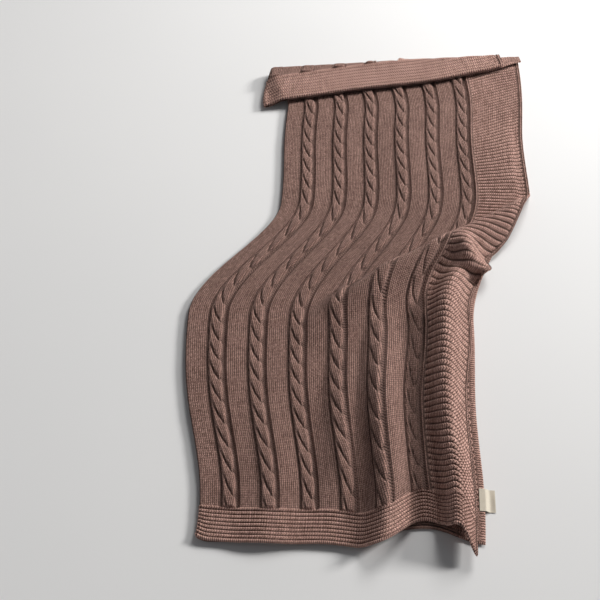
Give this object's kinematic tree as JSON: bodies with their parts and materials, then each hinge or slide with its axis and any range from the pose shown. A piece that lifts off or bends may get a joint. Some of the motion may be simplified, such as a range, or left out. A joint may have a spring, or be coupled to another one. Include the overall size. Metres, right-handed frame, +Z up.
{
  "type": "cable-knit bedspread",
  "caption": "Cable-knit cotton bedspread with garter borders, folded in half lengthwise and laid out with its top end turned down and soft folds along one side.",
  "frame": {"origin": "middle of the bounding box on the floor that the cloth lies on", "axes": "+Z up; +Y along the cloth from its hem to the turned-down end; +X across, from the lengthwise fold to the free edges"},
  "size_m": [0.8876, 1.6848, 0.0753],
  "materials": {
    "knit": "matt mocha-brown cotton yarn, cable-knitted",
    "label": "matt cream woven ribbon, bare"
  },
  "bodies": {
    "root": {"bedspread": "knit", "label": "label"}
  },
  "joints": []
}
